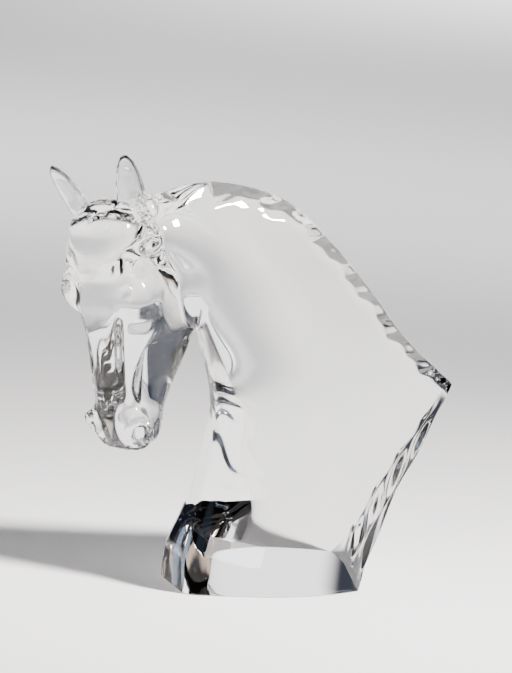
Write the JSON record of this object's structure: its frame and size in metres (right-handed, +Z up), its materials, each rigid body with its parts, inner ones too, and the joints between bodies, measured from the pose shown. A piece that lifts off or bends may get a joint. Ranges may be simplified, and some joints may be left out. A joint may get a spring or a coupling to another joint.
{
  "type": "crystal horse head sculpture",
  "caption": "Clear crystal horse head and arched neck, one solid with a bevelled crest, an oblique back cut and a flat base that it stands on.",
  "frame": {"origin": "middle of the flat base, on the surface that it stands on", "axes": "+Z up, the neck's plane is X-Z with the throat towards -X, the head turned to the horse's left, towards -Y"},
  "size_m": [0.2126, 0.093, 0.224],
  "materials": {
    "crystal": "polished"
  },
  "bodies": {
    "root": {"horse_head": "crystal"}
  },
  "joints": []
}
